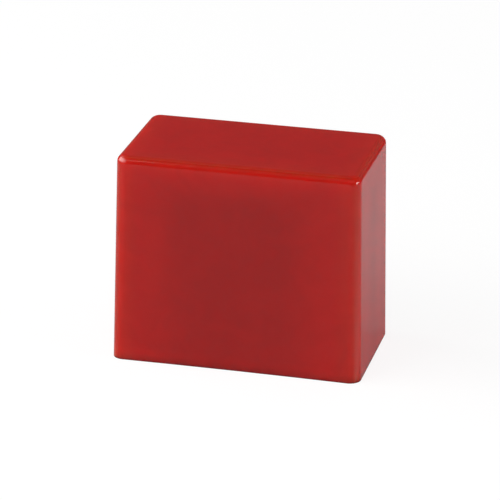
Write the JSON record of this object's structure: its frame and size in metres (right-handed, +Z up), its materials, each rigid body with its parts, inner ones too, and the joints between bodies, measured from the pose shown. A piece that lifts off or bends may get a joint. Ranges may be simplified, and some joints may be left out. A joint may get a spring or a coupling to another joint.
{
  "type": "pushbutton keyswitch cap",
  "caption": "Rectangular push-on cap for a pushbutton keyswitch: hollow glossy red moulding with drafted walls, a rounded crown and a split stem socket inside.",
  "frame": {"origin": "middle of the rim's outline, on the plane of the open rim that the cap stands on", "axes": "+X along the cap's width (the broad faces), +Y across its depth towards the rear broad face, +Z up through the crown, against the direction in which the switch is pressed"},
  "size_m": [0.012, 0.0068, 0.0102],
  "materials": {
    "red_plastic": "glossy moulded thermoplastic, deep red all through and slightly translucent"
  },
  "bodies": {
    "root": {"button_cap": "red_plastic"}
  },
  "joints": []
}
